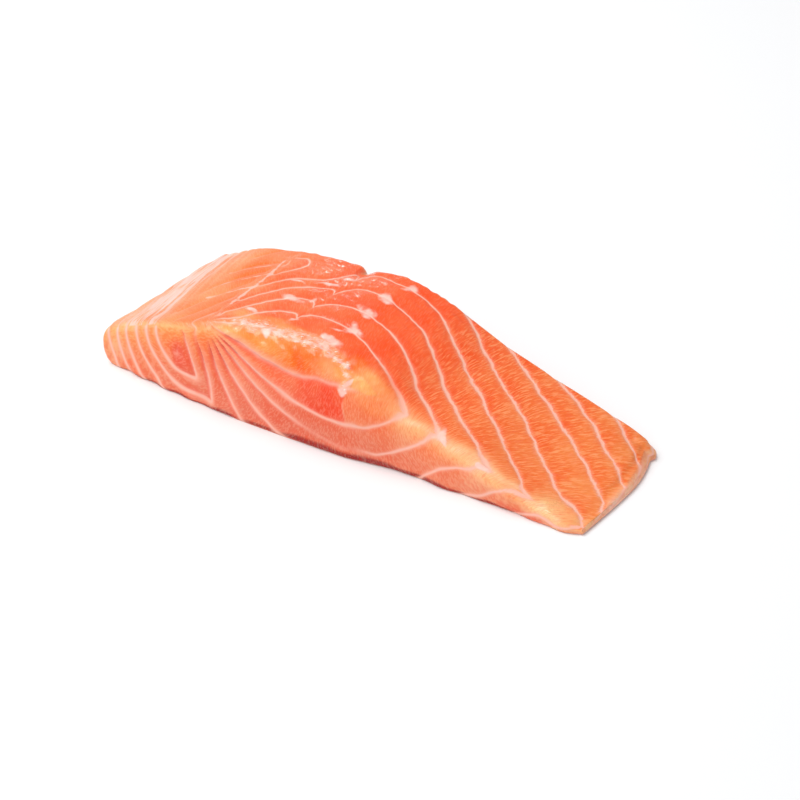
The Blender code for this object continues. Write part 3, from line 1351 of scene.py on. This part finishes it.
@dataclass
class SalmonFillet:
    """The portion: its form, its relief, the values its finish reads, and its one mesh."""

    form: FilletForm = FilletForm()
    layers: MuscleLayers = MuscleLayers()
    tint: FleshTint = FleshTint()
    relief: Relief = Relief()
    lines: FatLines = FatLines()
    foot_wave: FootWave = FootWave()
    belly_end: BellyEnd = BellyEnd()
    finish: FleshFinish = FleshFinish()
    rim_taper: Span = (-8.0, 1.0)  # X between which the torn rim narrows
    torn_corner: Place = (-26.0, 17.0, 27.5)  # by the split, at the back edge
    wet_tip: Place = (70.5, -22.0, 4.2)  # on the shoulder, by the belly's end

    def skin(self) -> Skin:
        """Works out the smooth form and what lies in it.

        Returns:
            the skin.
        """
        points = self.form.grid()
        normals = outward_normals(points)
        level = self.layers.at(points, self.form.grid(rounded=False))
        bent = bend(points, 0.9, 6, 21)
        fat = np.max([spot.reach(bent) for spot in FAT_NODES], axis=0)
        rim = TORN_RIM.at(points) ** (1 + 1.6 * smooth_step(*self.rim_taper, points[..., 0]))
        spread = np.hypot(points[..., 0] - self.layers.apex[0], points[..., 2] - self.layers.apex[1])
        return Skin(points, normals, level, surface_pace(points, level), fat, rim, spread)

    def marks(self, skin: Skin) -> Marks:
        """The numbers that the finish reads at each point.

        Args:
            skin: the form.

        Returns:
            the marks, as arrays.
        """
        points = skin.points
        x, y = points[..., 0], points[..., 1]
        shoulder = hill(skin.normals[..., 2] - 0.75, 0.25) * hill(x + 18, 26)
        torn = hill(away(points, self.torn_corner), 8.0)
        tip = hill(away(points, self.wet_tip), 6.0)
        return Marks(
            level=skin.level,
            pace=skin.pace,
            cut=1 - skin.top,
            fat=skin.fat,
            line_width=self.lines.width(skin),
            line_strength=self.lines.drawn(skin),
            hairy=smooth_step(0, 30, x) * skin.facing_up(0.2, 0.5),
            fringe=skin.rim,
            creased=skin.creased,
            dorsal=hill(x + 71.5 + 0.09 * y, 5.5) * skin.top,
            wet=np.clip(shoulder + tip + 0.5 * torn, 0, 1),
            seam=np.max([trail.at(points) for trail in SEAMS], axis=0),
        )

    @staticmethod
    def placed(points: Array, smooth: Array, low: Vector, high: Vector) -> Array:
        """Moves the form's box middle to the frame's, turns millimetres into metres and keeps to the box.

        Args:
            points: the finished points.
            smooth: those of the smooth form, whose box counts.
            low: the frame's lowest corner, in metres.
            high: its highest corner.

        Returns:
            the points in metres.
        """
        first, last = smooth.min(axis=(0, 1)), smooth.max(axis=(0, 1))
        metres = (points - (first + last) / 2) * MM + (np.array(low) + np.array(high)) / 2
        metres[..., 2] = points[..., 2] * MM + low[2]
        return np.clip(metres, np.array(low), np.array(high))

    @staticmethod
    def mesh(points: Array) -> bpy.types.Mesh:
        """Skins a grid of closed rings with quads and closes the two end rings.

        Args:
            points: an array of ring, step and X Y Z.

        Returns:
            the mesh, shaded smooth.
        """
        rings, steps = points.shape[:2]
        index = np.arange(rings * steps).reshape(rings, steps)
        after = np.roll(index, -1, axis=1)
        quads = np.stack([index[:-1], after[:-1], after[1:], index[1:]], axis=-1).reshape(-1, 4)
        faces = [*quads.tolist(), index[0].tolist()[::-1], index[-1].tolist()]
        mesh = bpy.data.meshes.new("fillet")
        mesh.from_pydata(points.reshape(-1, 3).tolist(), [], faces)
        mesh.update()
        mesh.shade_smooth()
        return mesh

    def build(self, low: Vector, high: Vector) -> bpy.types.Object:
        """Makes the piece: the smooth form sunk by its relief, with its marks, its tint and its finish.

        Args:
            low: the frame's lowest corner, in metres.
            high: its highest corner.

        Returns:
            the object, at the origin.
        """
        skin = self.skin()
        points = skin.points - skin.normals * self.relief.depth(skin)[..., None]
        points[..., 1] -= self.foot_wave.at(skin.points)
        points[..., 0] -= self.belly_end.at(skin.points)
        mesh = self.mesh(self.placed(points, skin.points, low, high))
        for name, values in vars(self.marks(skin)).items():
            data = mesh.attributes.new(name, "FLOAT", "POINT").data
            data.foreach_set("value", values.ravel().astype(np.float32))
        colours = np.ones((*points.shape[:2], 4), np.float32)
        colours[..., :3] = self.tint.colours(skin)
        mesh.attributes.new(TINT, "FLOAT_COLOR", "POINT").data.foreach_set("color", colours.ravel())
        mesh.materials.append(self.finish.material())
        return in_scene("fillet", mesh)


# ---- The studio ----


@dataclass(frozen=True)
class SoftBox:
    """A square area light that looks at the fillet."""

    name: str
    place: Place  # in metres
    side: float
    power: float

    def build(self) -> None:
        """Hangs the light and turns it to the origin."""
        light = bpy.data.lights.new(self.name, "AREA")
        light.size = self.side
        light.energy = self.power
        lamp = in_scene(self.name, light)
        lamp.location = self.place
        lamp.rotation_euler = (-Vector(self.place)).to_track_quat("-Z", "Y").to_euler()


@dataclass(frozen=True)
class Studio:
    """A pale floor, soft lights, a pale world, and the camera."""

    floor_side: float = 3.0
    floor_colour: Rgba = (0.87, 0.875, 0.885, 1.0)
    world_strength: float = 0.53
    boxes: tuple[SoftBox, ...] = (
        SoftBox("key", (-0.55, -0.15, 0.95), 0.8, 9.0),
        SoftBox("fill", (0.3, -1.1, 0.7), 0.9, 3.5),
        SoftBox("glint", (-0.5, 0.3, 0.8), 0.1, 0.45),
        SoftBox("glint_left", (-0.55, 0.75, 0.35), 0.05, 0.1),
        SoftBox("glint_high", (-0.05, 0.12, 1.1), 0.06, 0.18),
        SoftBox("glint_near", (-0.45, -0.1, 0.9), 0.06, 0.18),
    )
    lens: float = 139.2
    sensor: float = 36.0
    target: Place = (2.57 * MM, 6.37 * MM, 0.0)
    distance: float = 900.0 * MM
    azimuth: float = 32.9
    elevation: float = 33.0

    def build_floor(self) -> bpy.types.Object:
        """A level plane under the fillet, a hair below it.

        Returns:
            the floor.
        """
        half = self.floor_side / 2
        mesh = bpy.data.meshes.new("floor")
        corners = [(-half, -half, 0), (half, -half, 0), (half, half, 0), (-half, half, 0)]
        mesh.from_pydata(corners, [], [(0, 1, 2, 3)])
        material = bpy.data.materials.new("pale_floor")
        material.use_nodes = True
        looks = {"Base Color": self.floor_colour, "Roughness": 0.8, "Specular IOR Level": 0.1}
        Board(material.node_tree).dress(looks)
        mesh.materials.append(material)
        floor = in_scene("floor", mesh)
        floor.location.z = -0.05 * MM
        return floor

    def build_light(self) -> None:
        """The world's even glow and the soft boxes."""
        world = bpy.data.worlds.new("studio")
        world.use_nodes = True
        glow = world.node_tree.nodes["Background"]
        glow.inputs["Color"].default_value = (1.0, 1.0, 1.0, 1.0)
        glow.inputs["Strength"].default_value = self.world_strength
        bpy.context.scene.world = world
        bpy.context.scene.view_settings.view_transform = "Standard"
        for box in self.boxes:
            box.build()

    def build_camera(self) -> None:
        """A long lens, looking down on the front cut from the belly's side."""
        turn, rise = math.radians(self.azimuth), math.radians(self.elevation)
        back = Vector((math.sin(turn) * math.cos(rise), -math.cos(turn) * math.cos(rise), math.sin(rise)))
        camera = bpy.data.cameras.new("camera")
        camera.lens = self.lens
        camera.sensor_width = self.sensor
        camera.clip_start = 0.05
        holder = in_scene("camera", camera)
        holder.location = Vector(self.target) + back * self.distance
        holder.rotation_euler = back.to_track_quat("Z", "Y").to_euler()
        bpy.context.scene.camera = holder


def main() -> None:
    """Builds the fillet and the studio, and logs the fillet's face count."""
    logging.basicConfig(level=logging.INFO, format="%(message)s")
    cad_low, cad_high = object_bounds()
    piece = SalmonFillet().build(cad_low, cad_high)
    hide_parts(NODE)
    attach(piece, BODY)
    log.info("%s: %d faces", piece.name, len(piece.data.polygons))
    studio = Studio()
    floor = studio.build_floor()
    log.info("%s: plain", floor.name)
    studio.build_light()
    studio.build_camera()


if __name__ == "__main__":
    main()
